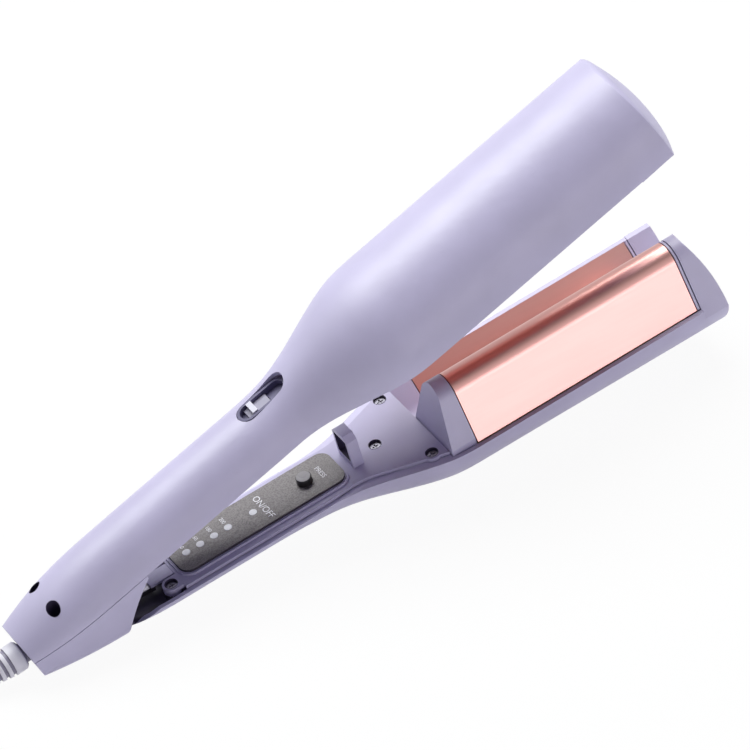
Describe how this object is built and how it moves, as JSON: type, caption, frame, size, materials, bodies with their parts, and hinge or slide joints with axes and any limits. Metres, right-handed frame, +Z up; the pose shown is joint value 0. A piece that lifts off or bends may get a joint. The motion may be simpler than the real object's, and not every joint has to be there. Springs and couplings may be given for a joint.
{
  "type": "hair waver",
  "caption": "Two-arm hair waver: spring-open jaws with waved heat plates, control panel, power button, slide lock and hook, and a swivelling cord boot.",
  "frame": {"origin": "centre of the flat resting face under the lower arm's barrel, arms open", "axes": "+X towards the tip, +Y to the user's left, +Z up from the table"},
  "size_m": [0.4505, 0.0918, 0.1478],
  "materials": {
    "casing": "satin moulded, lavender",
    "boot": "satin, near white",
    "panel": "grey with fine speckle",
    "plate": "glossy rose gold ceramic coat",
    "trim": "satin",
    "support": "satin",
    "button": "satin",
    "light": "clear white",
    "recess": "satin, dark",
    "screw": "bright",
    "steel": "ground",
    "heater": "plain",
    "insulation": "mica board",
    "board": "green lacquer",
    "cord": "satin",
    "plug": "satin",
    "pins": "nickel plated"
  },
  "bodies": {
    "upper_arm": {"upper_shell": "casing", "rear_belly_cover": "casing", "upper_inner_cover": "casing", "housing_screws": "screw", "upper_heat_plate": "plate", "upper_plate_trim": "trim", "upper_rear_support": "support", "upper_heater": "heater", "upper_heater_clamp": "steel", "upper_insulator": "insulation", "hinge_pin": "steel", "torsion_spring": "steel", "lock_guide": "recess", "cord_socket": "recess", "mains_cord": "cord", "cord_coil": "cord", "cord_tie": "recess", "plug_lead": "cord", "plug_body": "plug", "plug_pins": "pins"},
    "lower_arm": {"lower_shell": "casing", "lower_deck": "casing", "control_panel": "panel", "power_led": "light", "temperature_leds": "light", "circuit_board": "board", "tact_switch": "recess", "latch_hook": "casing", "deck_screws": "screw", "lower_heat_plate": "plate", "lower_plate_trim": "trim", "lower_rear_support": "support", "lower_heater": "heater", "lower_heater_clamp": "steel", "lower_insulator": "insulation", "thermal_fuse": "light", "hinge_knuckle": "steel"},
    "power_button": {"power_button": "button"},
    "lock_slider": {"lock_slider": "boot"},
    "cord_boot": {"cord_boot": "boot"}
  },
  "joints": [
    {"name": "arm_hinge", "type": "hinge", "parent": "upper_arm", "child": "lower_arm", "pos_m": [-0.18216, 0, 0.00847], "axis": [0, -1, 0], "range_deg": [0, 15.6], "stiffness_Nm_per_rad": 0.8, "springref_deg": -40.11},
    {"name": "power_button_press", "type": "slide", "parent": "lower_arm", "child": "power_button", "axis": [0.0757, 0, -0.9971], "range_m": [0, 0.0006], "stiffness_N_per_m": 800},
    {"name": "lock_slide", "type": "slide", "parent": "upper_arm", "child": "lock_slider", "axis": [0.9492, 0, 0.3148], "range_m": [0, 0.006]},
    {"name": "boot_swivel", "type": "hinge", "parent": "upper_arm", "child": "cord_boot", "pos_m": [-0.19464, 0, 0.01033], "axis": [-0.9894, 0, -0.1452], "continuous": true}
  ]
}
